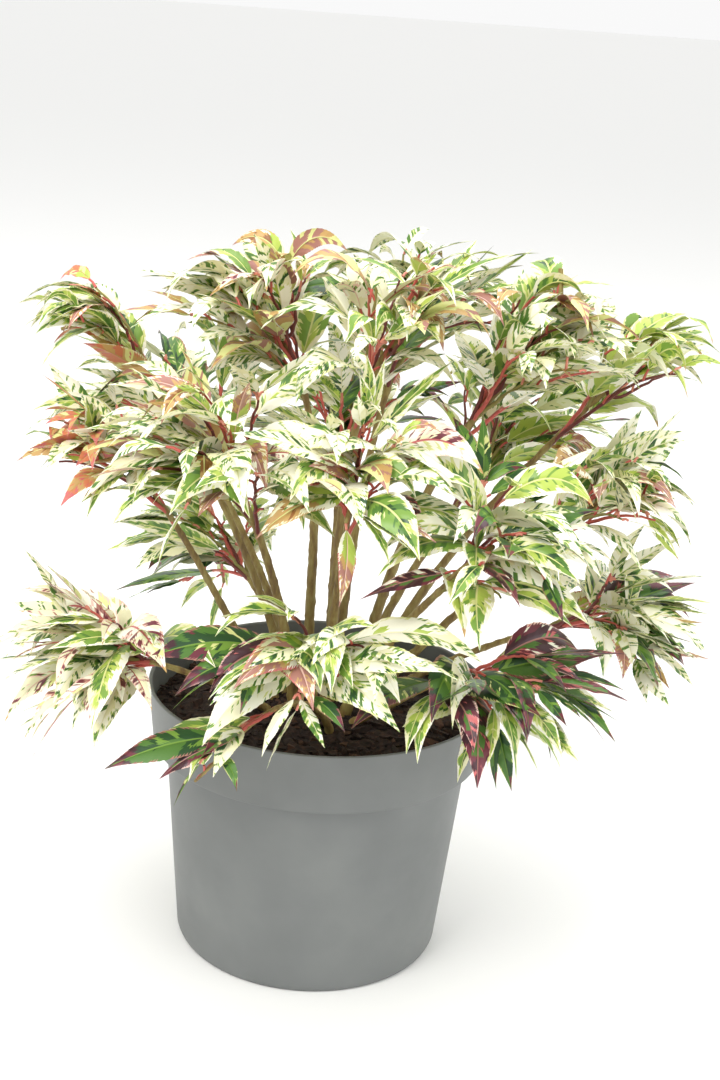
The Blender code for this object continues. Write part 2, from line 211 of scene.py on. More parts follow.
LEAF_COLOURS = {  # sRGB, roughness
    "cream": ((251, 249, 229), 0.42),
    "ivory": ((240, 236, 198), 0.42),
    "pale": ((222, 224, 150), 0.40),
    "lime": ((178, 198, 88), 0.38),
    "leaf": ((120, 156, 64), 0.36),
    "green": ((82, 122, 52), 0.34),
    "deep": ((44, 78, 42), 0.32),
    "tan": ((196, 158, 98), 0.42),
    "orange": ((205, 122, 84), 0.42),
    "brown": ((148, 98, 54), 0.40),
    "mauve": ((172, 120, 108), 0.40),
    "rose": ((202, 106, 106), 0.40),
    "pink": ((238, 200, 186), 0.42),
    "burgundy": ((112, 48, 60), 0.34),
    "purple": ((70, 38, 46), 0.32),
    "dead": ((128, 76, 42), 0.62),
}
COLOUR_INDEX = {name: i for i, name in enumerate(LEAF_COLOURS)}


def plain(name, rgb, roughness, **sockets):
    m = bpy.data.materials.new(name)
    m.use_nodes = True
    shader = m.node_tree.nodes["Principled BSDF"]
    shader.inputs["Base Color"].default_value = (*linear(rgb), 1.0)
    shader.inputs["Roughness"].default_value = roughness
    for key, value in sockets.items():
        shader.inputs[key].default_value = value
    return m


LEAF_MATERIALS = [
    plain("leaf_" + name, rgb, rough, **{"Specular IOR Level": 0.45})
    for name, (rgb, rough) in LEAF_COLOURS.items()
]
TWIG_COLOURS = {
    "red": ((196, 92, 82), 0.45),
    "pinkish": ((222, 140, 122), 0.45),
    "olive": ((140, 132, 72), 0.50),
    "bark": ((120, 92, 60), 0.60),
    "maroon": ((110, 50, 46), 0.50),
}
TWIG_INDEX = {name: i for i, name in enumerate(TWIG_COLOURS)}
TWIG_MATERIALS = [plain("twig_" + n, rgb, rough) for n, (rgb, rough) in TWIG_COLOURS.items()]


# ---------------------------------------------------------------- mesh gathering
class Gather:
    """Triangles and quads of many small things, made into one piece."""

    def __init__(self):
        self.verts, self.faces, self.slots, self.count = [], [], [], 0

    def add(self, verts, faces, slots):
        self.verts.append(np.asarray(verts, np.float32))
        self.faces.append(np.asarray(faces, np.int64) + self.count)
        self.slots.append(np.asarray(slots, np.int32))
        self.count += len(verts)

    def triangles(self):
        return sum(len(f) * (f.shape[1] - 2) for f in self.faces)

    def make(self, name, materials, smooth=True):
        verts = np.concatenate(self.verts)
        mesh = bpy.data.meshes.new(name)
        mesh.vertices.add(len(verts))
        mesh.vertices.foreach_set("co", verts.ravel())
        sizes = np.concatenate([np.full(len(f), f.shape[1]) for f in self.faces])
        loops = np.concatenate([f.ravel() for f in self.faces])
        starts = np.concatenate([[0], np.cumsum(sizes)[:-1]])
        mesh.loops.add(len(loops))
        mesh.loops.foreach_set("vertex_index", loops.astype(np.int32))
        mesh.polygons.add(len(sizes))
        mesh.polygons.foreach_set("loop_start", starts.astype(np.int32))
        mesh.polygons.foreach_set("material_index", np.concatenate(self.slots))
        mesh.polygons.foreach_set("use_smooth", np.full(len(sizes), smooth))
        for m in materials:
            mesh.materials.append(m)
        mesh.update(calc_edges=True)
        mesh.validate()
        obj = bpy.data.objects.new(name, mesh)
        bpy.context.scene.collection.objects.link(obj)
        return obj


# ---------------------------------------------------------------- leaves
WIDTH_AT = np.array([0, .03, .07, .13, .20, .28, .36, .46, .56, .66, .75, .83, .90, .95, 1.0])
WIDTH_IS = np.array([.05, .24, .46, .68, .86, .97, 1.0, .96, .86, .70, .51, .33, .18, .09, .012])


def leaf_template(nl, half):
    """Grid rows (i, v) and triangles whose diagonals run outward and forward, as the veins do."""
    inner = np.array([0.0, 0.055])
    rest = np.linspace(0.055, 1.0, half)[1:]
    v = np.concatenate([inner, rest])
    cols = np.concatenate([-v[:0:-1], v])
    n = len(cols)
    mid = (n - 1) // 2
    s, vv = np.meshgrid(np.linspace(0, 1, nl + 1), cols, indexing="ij")
    tris = []
    for i in range(nl):
        for j in range(n - 1):
            a, b = i * n + j, i * n + j + 1
            c, d = (i + 1) * n + j + 1, (i + 1) * n + j
            if j >= mid:
                tris += [(a, b, c), (a, c, d)]
            else:
                tris += [(a, b, d), (b, c, d)]
    return s.ravel(), vv.ravel(), np.array(tris), np.tile(np.arange(n), nl + 1), np.repeat(np.arange(nl + 1), n)


TEMPLATES = {"low": leaf_template(26, 4), "mid": leaf_template(38, 6), "high": leaf_template(60, 9)}


class Leaf:
    """One blade: a cubic midrib from its base to its tip, and how it is shaped and coloured."""

    def __init__(self, curve, up, width, kind, rng, mass, **more):
        self.curve = [np.asarray(p, float) for p in curve]
        self.up = np.asarray(up, float)
        self.width = width
        self.kind = kind
        self.mass = mass
        self.seed = rng.random() * 200
        self.fold = more.get("fold", rng.uniform(0.16, 0.42))
        self.curl = more.get("curl", rng.uniform(0.10, 0.34))
        self.wave = more.get("wave", rng.uniform(0.02, 0.12))
        self.turns = rng.uniform(1.6, 3.4)
        self.phase = rng.uniform(0, 6.28)
        self.twist = more.get("twist", rng.uniform(-0.5, 0.5))
        self.density = more.get("density", rng.uniform(0.25, 0.75))
        self.tone = more.get("tone", rng.uniform(0.0, 1.0))
        self.dead = more.get("dead", 0.0)
        self.detail = more.get("detail", "mid")

    def points(self, n=7):
        t = np.linspace(0, 1, n)[:, None]
        return bezier(self.curve, t)


def build_leaves(leaves, detail):
    """Vertices and colour slots of all leaves of one detail: (M, V, 3), triangles, (M, F)."""
    s0, v0, tris, col, row = TEMPLATES[detail]
    M, K = len(leaves), 64
    t = np.linspace(0, 1, K + 1)
    ctrl = np.array([l.curve for l in leaves])  # M 4 3
    u = 1 - t
    w = np.stack([u**3, 3 * u * u * t, 3 * u * t * t, t**3], 1)
    P = np.einsum("kc,mcx->mkx", w, ctrl)
    dw = np.stack([-3 * u * u, 3 * u * u - 6 * u * t, 6 * u * t - 3 * t * t, 3 * t * t], 1)
    T = np.einsum("kc,mcx->mkx", dw, ctrl)
    T /= np.maximum(np.linalg.norm(T, axis=2, keepdims=True), 1e-9)
    N = np.zeros_like(T)
    up = np.array([l.up for l in leaves])
    n = up - T[:, 0] * np.sum(up * T[:, 0], 1, keepdims=True)
    n /= np.maximum(np.linalg.norm(n, axis=1, keepdims=True), 1e-9)
    N[:, 0] = n
    for k in range(1, K + 1):  # carried along the midrib without turning about it
        n = n - T[:, k] * np.sum(n * T[:, k], 1, keepdims=True)
        n /= np.maximum(np.linalg.norm(n, axis=1, keepdims=True), 1e-9)
        N[:, k] = n
    length = np.linalg.norm(np.diff(P, axis=1), axis=2).sum(1)
    width = np.array([l.width for l in leaves])
    twist = np.array([l.twist for l in leaves])
    S = np.cross(T, N)
    turn = twist[:, None] * t[None, :] ** 1.3
    cs, sn = np.cos(turn)[..., None], np.sin(turn)[..., None]
    S, N = S * cs + N * sn, N * cs - S * sn

    half = width / 2
    lean = 0.85 * half / length  # how far forward a vein has run where it meets the margin
    s = s0[None, :] + (lean[:, None] * 4 * s0 * (1 - s0)) * np.abs(v0)
    s = np.clip(s, 0, 1)
    profile = np.interp(s, WIDTH_AT, WIDTH_IS)
    tooth = np.where((col == 0) | (col == col.max()), 1.0 + 0.022 * (1 - 2 * (row % 2)), 1.0)
    hw = half[:, None] * profile * tooth[None, :]
    at = s * K
    k0 = np.minimum(at.astype(int), K - 1)
    f = (at - k0)[..., None]
    idx = np.arange(M)[:, None]

    def along(A):
        return A[idx, k0] * (1 - f) + A[idx, k0 + 1] * f

    Pm, Sm, Nm = along(P), along(S), along(N)
    fold = np.array([l.fold for l in leaves])[:, None]
    curl = np.array([l.curl for l in leaves])[:, None]
    wave = np.array([l.wave for l in leaves])[:, None]
    turns = np.array([l.turns for l in leaves])[:, None]
    phase = np.array([l.phase for l in leaves])[:, None]
    av = np.abs(v0)[None, :]
    lift = fold * av - curl * av**2 + wave * av**2 * np.sin(6.283 * turns * s + phase + 1.7 * np.sign(v0)[None, :])
    x = s * length[:, None]
    y = av * hw
    vein = 0.5 + 0.5 * np.cos(6.283 * (x - y * 0.9) / 0.0040)
    relief = -0.00016 * vein * np.clip(av * 3, 0, 1) * (1 - av**4) * np.clip(profile * 1.5, 0, 1)
    groove = -0.00030 * (av < 0.02) * np.clip(profile * 1.5, 0, 1)
    reach = v0[None, :] * hw * np.cos(fold * 0.8)
    V = Pm + Sm * reach[..., None] + Nm * (hw * lift + relief + groove)[..., None]

    # colours, face by face
    sf = s[:, tris].mean(2)
    vf = v0[tris].mean(1)[None, :] * np.ones((M, 1))
    xf = sf * length[:, None]
    hf = half[:, None] * np.interp(sf, WIDTH_AT, WIDTH_IS)
    yf = np.abs(vf) * hf
    q = xf - yf * 0.95
    sd = (vf > 0).astype(float) * 37.0
    seed = np.array([l.seed for l in leaves])[:, None]
    n1 = noise2(q / 0.0013 + seed * 7.1, yf / 0.0042 + sd + seed)
    n1b = noise2(q / 0.0026 + seed * 3.3, yf / 0.0075 + sd + seed * 2)
    n2 = noise2(q / 0.0060 + seed * 1.7, yf / 0.0060 + sd + seed * 5)
    n3 = noise2(xf / 0.0170 + seed * 4.1, yf / 0.0110 + sd * 1.3 + seed * 11)
    slots = np.zeros((M, len(tris)), np.int32)
    for m, leaf in enumerate(leaves):
        slots[m] = paint(leaf, sf[m], vf[m], n1[m], n1b[m], n2[m], n3[m])
    return V, tris, slots


def paint(leaf, s, v, n1, n1b, n2, n3):
    """The plain colour of each face of one leaf, by the kind of leaf that it is."""
    C = COLOUR_INDEX
    a = np.abs(v)
    out = np.full(len(s), C["cream"], np.int32)
    kind, dens, tone = leaf.kind, leaf.density, leaf.tone

    def put(where, name):
        out[where] = C[name]

    mid = a < 0.06
    body = 0.62 + 0.25 * dens - 0.35 * smoothstep(0.55, 1.0, s) - 0.20 * (1 - smoothstep(0.0, 0.18, s))
    edge = a + 0.62 * (n1b - 0.5) + 0.55 * (n2 - 0.5) + 0.22 * (n1 - 0.5)
    inside = edge < body
    if kind == "cream":
        put(n3 > 0.60, "ivory")
        put((n2 > 0.62) & (n1b > 0.45), "ivory")
        fleck = n1 * 0.60 + n1b * 0.28 + n2 * 0.26 + 0.10 * (dens - 0.5)
        put(fleck > 0.655, "pale")
        put(fleck > 0.680, "leaf")
        put(fleck > 0.735, "green")
        if tone > 0.55:
            put(fleck > 0.80, "deep")
        put((edge < body - 0.48) & (n2 > 0.58) & (dens > 0.5), "lime")
        put((a > 0.90) & (n1b > 0.55) & (tone > 0.5), "pale")
        put(mid & (s < 0.85), "ivory")
    elif kind == "centre":
        put(n3 > 0.58, "ivory")
        put((~inside) & (n1 > 0.80), "pale")
        put(inside, "leaf")
        put(inside & (n2 > 0.56), "lime")
        put(inside & (n1b > 0.60), "green")
        if tone > 0.5:
            put(inside & (n1 * 0.6 + n1b * 0.5 > 0.70), "deep")
        put(inside & (n1 > 0.80) & (n2 > 0.4), "pale")
        put(inside & (edge > body - 0.07), "pale")
        put(mid & (s < 0.8), "pale")
    elif kind == "lime":
        put(n3 > 0.5, "pale")
        put(inside, "lime")
        put(inside & (n1b > 0.64), "leaf")
        put(inside & (n1 > 0.84), "green")
        put((a > 0.88) & (n1b > 0.35), "cream")
        put(mid, "pale")
        put((s > 0.93), "tan")
    elif kind == "copper":
        put(n3 > 0.55, "ivory")
        flush = smoothstep(0.20, 0.62, s + 0.30 * (n2 - 0.5))
        put(inside, "lime")
        put(inside & (n1b > 0.62), "leaf")
        put(inside & (flush > 0.45), "tan")
        put(inside & (flush > 0.45) & (n1b > 0.52), "brown" if tone < 0.5 else "mauve")
        put(inside & (flush > 0.75) & (n1b < 0.42), "mauve" if tone > 0.35 else "tan")
        put((~inside) & (s > 0.55) & (n1 > 0.62), "tan")
        put((a > 0.93) & (s > 0.35), "rose" if tone > 0.5 else "tan")
        put(s > 0.93, "mauve")
        put(mid, "pale" if tone < 0.5 else "pink")
    elif kind == "orange":
        put(np.ones(len(s), bool), "orange")
        put(n1b > 0.55, "tan")
        put((n2 > 0.60) & (s < 0.6), "pale")
        put((s < 0.30 + 0.2 * (n2 - 0.5)) & (n1b > 0.35), "lime" if tone > 0.5 else "tan")
        put((n1 > 0.72) & (a < 0.7), "rose")
        put(s > 0.86, "rose")
        put((a > 0.92) & (n1b > 0.40), "rose" if tone > 0.4 else "ivory")
        put(mid, "tan")
    elif kind == "rosy":
        put(n3 > 0.62, "ivory")
        fleck = n1 * 0.55 + n1b * 0.35 + n2 * 0.24 + 0.08 * (dens - 0.5)
        put(fleck > 0.66, "pink")
        put(fleck > 0.705, "mauve" if tone > 0.5 else "leaf")
        put(fleck > 0.765, "burgundy" if tone > 0.35 else "green")
        put((n3 < 0.30) & (n1b > 0.50), "pale")
        put((a > 0.90) & (n1b > 0.50), "pink")
        put(mid & (s < 0.7), "rose" if tone > 0.5 else "pink")
        put(s > 0.95, "tan")
    elif kind == "dark":
        put(np.ones(len(s), bool), "green")
        put(n2 > 0.50, "deep")
        put((n1b > 0.66) & (n3 > 0.45), "leaf")
        put((n1 * 0.6 + n1b * 0.5 > 0.80) & (dens > 0.55), "pale")
        turn = s + 0.35 * (n2 - 0.5) + 0.12 * a
        put(turn > 0.72 + 0.3 * (1 - tone), "purple")
        put((turn > 0.60 + 0.3 * (1 - tone)) & (n1b > 0.62), "burgundy")
        put((a > 0.92) & (n1b > 0.40), "mauve" if tone > 0.4 else "pale")
        put(mid, "leaf")
    elif kind == "burgundy":
        put(np.ones(len(s), bool), "burgundy")
        put(n2 > 0.45, "purple")
        put((edge < 0.30) & (s < 0.75) & (n2 < 0.50), "green")
        put((n1 * 0.6 + n1b * 0.5 > 0.74) & (n3 > 0.4), "rose" if tone > 0.4 else "mauve")
        put((n1 * 0.5 + n1b * 0.6 > 0.78) & (a > 0.4) & (dens > 0.5), "cream")
        put((a > 0.92) & (n1b > 0.5), "pink")
        put(mid, "mauve")
    elif kind == "under":  # the dull lower face of a blade
        put(np.ones(len(s), bool), "tan")
        put(n2 > 0.50, "pale")
        put(n1b > 0.60, "mauve")
        put(mid, "pale")
    if leaf.dead > 0:
        put((s > 1.0 - leaf.dead + 0.16 * (n2 - 0.5)) & (n2 > 0.25), "dead")
        put((a > 1.0 - leaf.dead * 0.6) & (n1b > 0.45) & (s > 0.4), "dead")
    return out


# ---------------------------------------------------------------- tubes
def tube(points, radii, sides, start_side=None):
    """Vertices and quads of a tube along points, open at both ends."""
    P = np.asarray(points, float)
    n = len(P)
    T = np.gradient(P, axis=0)
    T /= np.maximum(np.linalg.norm(T, axis=1, keepdims=True), 1e-9)
    side = across([0.31, -0.95, 0.02], T[0]) if start_side is None else across(start_side, T[0])
    rings = []
    a = np.arange(sides) * 2 * math.pi / sides
    for k in range(n):
        side = across(side, T[k])
        other = np.cross(T[k], side)
        r = radii[k]
        r = np.asarray(r) if np.ndim(r) else np.full(sides, r)
        rings.append(P[k] + (np.cos(a) * r)[:, None] * side + (np.sin(a) * r)[:, None] * other)
    verts = np.concatenate(rings)
    k, j = np.meshgrid(np.arange(n - 1), np.arange(sides), indexing="ij")
    k, j = k.ravel(), j.ravel()
    i = (j + 1) % sides
    quads = np.stack([k * sides + j, k * sides + i, (k + 1) * sides + i, (k + 1) * sides + j], 1)
    return verts, quads


# ---------------------------------------------------------------- growth
def stem_curve(spec):
    foot = np.array([*spec["foot"], SOIL_Z + GAP])
    centre = np.array(spec["c"])
    if "over" in spec:
        return [foot, np.array(spec["over"][0]), np.array(spec["over"][1]), centre]
    out = centre - foot
    out[2] = 0
    span = np.linalg.norm(centre - foot)
    flat = unit(out)
    rise = spec["rise"]
    first = foot + unit(flat * (1 - rise) + np.array([0, 0, rise])) * span * 0.38
    back = (flat * 0.55 + np.array([0, 0, 0.55 if rise > 0.5 else 0.10])) * span * 0.34
    return [foot, first, centre - back, centre]


def inside_ratio(p, spec):
    d = (np.asarray(p) - np.array(spec["c"])) / np.array(spec["r"])
    return np.sqrt((d**2).sum(-1))


def near_crown(points):
    """How far outside the nearest foliage mass each point is, 1 on its surface."""
    return np.min([inside_ratio(points, spec) for spec in PLANT.values()], axis=0)


LEAVES, TWIGS, BOUGHS = [], Gather(), []


def blade(base, out, length, droop, up, rng):
    """Control points of a blade that leaves along out and bends over by its own weight."""
    out, up = unit(out), np.asarray(up, float)
    down = np.array([0, 0, -1.0])
    tip_dir = unit(out * (1 - droop * 0.55) + down * droop)
    sway = across(np.cross(out, [0, 0, 1.0]), out) * rng.uniform(-0.10, 0.10) * length
    c1 = base + out * length * 0.36
    c2 = c1 + unit(out + tip_dir * 0.8) * length * 0.30 + sway * 0.5
    tip = c2 + tip_dir * length * 0.36 + sway
    return [base, c1, c2, tip]


def ok_leaf(leaf, reach=1.30):
    pts = leaf.points(7)
    r = np.hypot(pts[:, 0], pts[:, 1])
    margin = leaf.width * 0.4
    if np.any((pts[:, 2] < SOIL_Z + 0.004 + margin * 0.3) & (r < RIM_R + 0.003 + margin)):
        return False
    if np.any((pts[:, 2] < POT_HEIGHT + 0.004 + margin * 0.5) & (r > RIM_R - 0.006 - margin) & (r < RIM_R + 0.004 + margin * 0.6)):
        return False
    if np.any(pts < CAD_LOW - 0.012) or np.any(pts > CAD_HIGH + 0.012):
        return False
    if PLANT[leaf.mass]["c"][2] < 0.19:
        reach += 0.55
    return near_crown(pts[-1]) < reach and near_crown(pts[3]) < reach


def petiole(start, base, width, rng, colour):
    start, base = np.asarray(start), np.asarray(base)
    mid = (start + base) / 2 + np.array([0, 0, 0.0006])
    verts, quads = tube([start, mid, base], [0.00075, 0.0006, 0.0006], 5)
    TWIGS.add(verts, quads, np.full(len(quads), TWIG_INDEX[colour]))


def leafy_shoot(curve, mass, rng, mix, start=0.22, gap=0.0105, size=0.052, colour="red", thick=0.0011, tip_leaves=3):
    """A shoot with alternate leaves, smaller towards its tip, where they crowd together."""
    samples = np.linspace(0, 1, 15)
    path = bezier(curve, samples[:, None])
    steps = np.linalg.norm(np.diff(path, axis=0), axis=1)
    run = np.concatenate([[0], np.cumsum(steps)])
    total = run[-1]
    zig = np.array([0.0, 0.0, 0.0])
    wobble = [p + across(np.array([rng.gauss(0, 1) for _ in range(3)]), [0, 0, 1]) * 0.0005 for p in path]
    radii = thick * (1.0 - 0.55 * samples)
    verts, quads = tube(wobble, radii, 6)
    TWIGS.add(verts, quads, np.full(len(quads), TWIG_INDEX[colour]))
    kinds, weights = list(mix), [mix[k] for k in mix]
    favourite = rng.choices(kinds, weights)[0]
    at, side_sign = total * start + rng.uniform(0, gap), rng.choice([-1, 1])
    while at < total:
        u = float(np.interp(at, run, samples))
        p = bezier(curve, u)
        T = unit(bezier(curve, min(1, u + 0.02)) - bezier(curve, max(0, u - 0.02)))
        side = np.cross(T, [0, 0, 1.0])
        side = across(side, T) if np.linalg.norm(side) > 0.15 else across(unit(p - CROWN), T)
        spread = math.radians(rng.uniform(42, 66) * (1 - 0.35 * u))
        outward = unit((p - CROWN) * np.array([1, 1, 0.6]))
        direction = unit(T * math.cos(spread) + side * side_sign * math.sin(spread) + outward * 0.25 + np.array([0, 0, rng.uniform(0.0, 0.30)]))
        place = size * (0.72 + 0.36 * math.sin(math.pi * min(1, 0.25 + 0.75 * u))) * rng.uniform(0.82, 1.14)
        if u > 0.8:
            place *= 0.80
        kind = favourite if rng.random() < 0.55 else rng.choices(kinds, weights)[0]
        for attempt in range(4):
            base = p + direction * rng.uniform(0.004, 0.0075)
            droop = rng.uniform(0.25, 1.05)
            up = unit(np.array([0, 0, 1.0]) + outward * 0.45 + np.array([rng.gauss(0, 0.22) for _ in range(3)]))
            leaf = Leaf(blade(base, direction, place, droop, up, rng), up, place * rng.uniform(0.27, 0.36), kind, rng, mass)
            if ok_leaf(leaf):
                LEAVES.append(leaf)
                petiole(p, base, leaf.width, rng, "pinkish" if rng.random() < 0.4 else "red")
                break
            direction = unit(direction + unit(np.array(PLANT[mass]["c"]) - p) * 0.35 + np.array([0, 0, 0.25]))
            place *= 0.85
        side_sign = -side_sign
        at += gap * rng.uniform(0.75, 1.25)
    end, T = bezier(curve, 1.0), unit(bezier(curve, 1.0) - bezier(curve, 0.95))
    for k in range(tip_leaves):  # the young leaves round the bud
        turn = rng.uniform(0, 6.28)
        side = across([math.cos(turn), math.sin(turn), 0.2], T)
        direction = unit(T + side * rng.uniform(0.25, 0.75))
        length = size * rng.uniform(0.42, 0.78)
        up = unit(np.array([0, 0, 1.0]) + side * 0.4)
        base = end + direction * 0.003
        leaf = Leaf(blade(base, direction, length, rng.uniform(0.0, 0.8), up, rng), up, length * rng.uniform(0.22, 0.30), favourite, rng, mass)
        if ok_leaf(leaf):
            LEAVES.append(leaf)
            petiole(end, base, leaf.width, rng, "pinkish")


def grow(name, index):
    spec = PLANT[name]
    rng = random.Random(SEED * 31 + index)
    centre, radii = np.array(spec["c"]), np.array(spec["r"])
    curve = stem_curve(spec)
    main = [bezier(curve, t) for t in np.linspace(0, 1, 30)]
    tangent = unit(main[-1] - main[-2])
    goal = centre + (np.array(spec["tips"][0]) - centre) * 0.62
    bend = centre + tangent * np.linalg.norm(goal - centre) * 0.45
    for t in np.linspace(0.12, 1, 8):
        main.append(centre * (1 - t) ** 2 + bend * 2 * t * (1 - t) + goal * t * t)
    main = np.array(main)
    BOUGHS.append((name, main, spec["base"]))
    mix = MIXES[spec["mix"]]
    leafy_shoot([main[-9], main[-6], main[-3], main[-1]], name, rng, mix, start=0.0, gap=0.010, thick=0.0011)
    if not spec["n"]:
        return
    # directions spread evenly over the mass, those that face out of the crown first
    wanted, total = [], 26
    for k in range(total):
        z = 1 - 2 * (k + 0.5) / total
        turn = k * 2.39996 + index
        d = np.array([math.cos(turn) * math.sqrt(1 - z * z), math.sin(turn) * math.sqrt(1 - z * z), z])
        point = centre + d * radii
        others = [inside_ratio(point, s) for n, s in PLANT.items() if n != name]
        free = min(others)
        score = 0.9 * float(d @ unit(centre - CROWN)) + 0.55 * d[2] + 0.7 * min(1.4, free) + rng.uniform(0, 0.35)
        wanted.append((score, k, point, d))
    wanted.sort(key=lambda w: -w[0])
    for score, k, point, d in wanted[: spec["n"]]:
        end = centre + (point - centre) * rng.uniform(0.62, 0.84)
        if end[2] < POT_HEIGHT + 0.012 and math.hypot(end[0], end[1]) < RIM_R + 0.012:
            end[2] = POT_HEIGHT + 0.016
        frac = rng.uniform(0.62, 0.92)
        start = main[int(frac * 29)]
        if np.linalg.norm(start - end) > 0.075:
            start = main[27]
        span = np.linalg.norm(end - start)
        T = unit(main[min(36, int(frac * 29) + 1)] - start)
        first = start + unit(T + unit(end - start)) * span * 0.38
        second = end - unit(unit(end - start) + np.array([0, 0, -0.35])) * span * 0.30 + np.array([0, 0, span * 0.06])
        leafy_shoot([start, first, second, end], name, rng, mix,
                    colour=rng.choice(["red", "olive", "maroon", "red"]))


for number, mass in enumerate(PLANT):
    grow(mass, number)


# ---------------------------------------------------------------- make the leaf pieces
def build_leaf_pieces():
    total = 0
    for group, masses in GROUPS.items():
        gathered = Gather()
        for detail in TEMPLATES:
            chosen = [l for l in LEAVES if GROUP_OF[l.mass] == group and l.detail == detail]
            if not chosen:
                continue
            V, tris, slots = build_leaves(chosen, detail)
            M, n = V.shape[:2]
            faces = (tris[None] + (np.arange(M) * n)[:, None, None]).reshape(-1, 3)
            gathered.add(V.reshape(-1, 3), faces, slots.ravel())
        obj = gathered.make(group, LEAF_MATERIALS)
        total += len(obj.data.polygons)
        print(group, len([l for l in LEAVES if GROUP_OF[l.mass] == group]), "leaves", len(obj.data.polygons), "faces")
        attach(obj, "root")
        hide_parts(*["foliage_" + m for m in masses])
    print("leaves", len(LEAVES), "faces", total)


build_leaf_pieces()


# ---------------------------------------------------------------- stems with bark
def node_material(name):
    m = bpy.data.materials.new(name)
    m.use_nodes = True
    tree = m.node_tree
    return m, tree, tree.nodes["Principled BSDF"]


def ramp(tree, source, stops):
    node = tree.nodes.new("ShaderNodeValToRGB")
    node.color_ramp.elements[0].position, node.color_ramp.elements[1].position = stops[0][0], stops[-1][0]
    node.color_ramp.elements[0].color = (*linear(stops[0][1]), 1)
    node.color_ramp.elements[1].color = (*linear(stops[-1][1]), 1)
    for at, rgb in stops[1:-1]:
        e = node.color_ramp.elements.new(at)
        e.color = (*linear(rgb), 1)
    tree.links.new(source, node.inputs["Fac"])
    return node.outputs["Color"]


def noise_node(tree, scale, detail=4.0, rough=0.55, stretch=(1, 1, 1)):
    coord = tree.nodes.new("ShaderNodeTexCoord")
    mapping = tree.nodes.new("ShaderNodeMapping")
    mapping.inputs["Scale"].default_value = stretch
    node = tree.nodes.new("ShaderNodeTexNoise")
    node.inputs["Scale"].default_value = scale
    node.inputs["Detail"].default_value = detail
    node.inputs["Roughness"].default_value = rough
    tree.links.new(coord.outputs["Object"], mapping.inputs["Vector"])
    tree.links.new(mapping.outputs["Vector"], node.inputs["Vector"])
    return node.outputs["Fac"]


def bump(tree, shader, height, strength, distance):
    node = tree.nodes.new("ShaderNodeBump")
    node.inputs["Strength"].default_value = strength
    node.inputs["Distance"].default_value = distance
    tree.links.new(height, node.inputs["Height"])
    tree.links.new(node.outputs["Normal"], shader.inputs["Normal"])


def bark_material():
    m, tree, shader = node_material("bark")
    fac = noise_node(tree, 260, 5, 0.6, (1, 1, 0.25))
    tree.links.new(ramp(tree, fac, [(0.28, (96, 70, 44)), (0.48, (138, 116, 64)), (0.62, (156, 142, 84)), (0.78, (150, 92, 66))]),
                   shader.inputs["Base Color"])
    shader.inputs["Roughness"].default_value = 0.58
    bump(tree, shader, noise_node(tree, 900, 4, 0.6, (1, 1, 0.2)), 0.35, 0.0004)
    return m


def build_stems():
    bark = bark_material()
    gathered = Gather()
    for number, (name, main, base) in enumerate(BOUGHS):
        rng = np.random.RandomState(SEED + 500 + number)
        n = 90
        run = np.concatenate([[0], np.cumsum(np.linalg.norm(np.diff(main, axis=0), axis=1))])
        at = np.linspace(0, run[-1], n)
        P = np.stack([np.interp(at, run, main[:, k]) for k in range(3)], 1)
        P[0, 2] = SOIL_Z - 0.002
        share = at / run[-1]
        sides = 12
        a = np.arange(sides)
        ridge = 1 + 0.05 * np.sin(a * 3 + rng.rand() * 6)[None, :] + 0.05 * rng.randn(n, sides)
        r = base * (1 - 0.62 * share) * (1 + 0.45 * np.exp(-share / 0.03))
        knots = (at % 0.013) / 0.013
        swell = 1 + 0.16 * np.exp(-((knots - 0.5) / 0.08) ** 2)
        verts, quads = tube(P, list((r * swell)[:, None] * ridge), sides)
        gathered.add(verts, quads, np.zeros(len(quads)))
    obj = gathered.make("stems", [bark])
    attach(obj, "root")
    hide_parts(*["stem_" + name for name in PLANT])


build_stems()
twigs = TWIGS.make("twigs", TWIG_MATERIALS)
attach(twigs, "root")


# ---------------------------------------------------------------- pot
def lathe(profile, steps, name, close=True):
    profile = np.array(profile)
    n = len(profile)
    a = np.arange(steps) * 2 * math.pi / steps
    verts = np.stack([np.outer(np.cos(a), profile[:, 0]), np.outer(np.sin(a), profile[:, 0]),
                      np.tile(profile[:, 1], (steps, 1))], -1).reshape(-1, 3)
    k, j = np.meshgrid(np.arange(steps), np.arange(n - 1), indexing="ij")
    k, j = k.ravel(), j.ravel()
    i = (k + 1) % steps
    quads = np.stack([k * n + j, i * n + j, i * n + j + 1, k * n + j + 1], 1)
    g = Gather()
    g.add(verts, quads, np.zeros(len(quads)))
    return g


def rounded(points, radius, steps=4):
    """A profile with its corners rounded off."""
    P = [np.array(p, float) for p in points]
    out = [P[0]]
    for a, b, c in zip(P, P[1:], P[2:]):
        la, lc = np.linalg.norm(a - b), np.linalg.norm(c - b)
        r = min(radius, la * 0.45, lc * 0.45)
        p0, p1 = b + (a - b) / la * r, b + (c - b) / lc * r
        for t in np.linspace(0, 1, steps + 1):
            out.append(p0 * (1 - t) ** 2 + b * 2 * t * (1 - t) + p1 * t * t)
    out.append(P[-1])
    return out


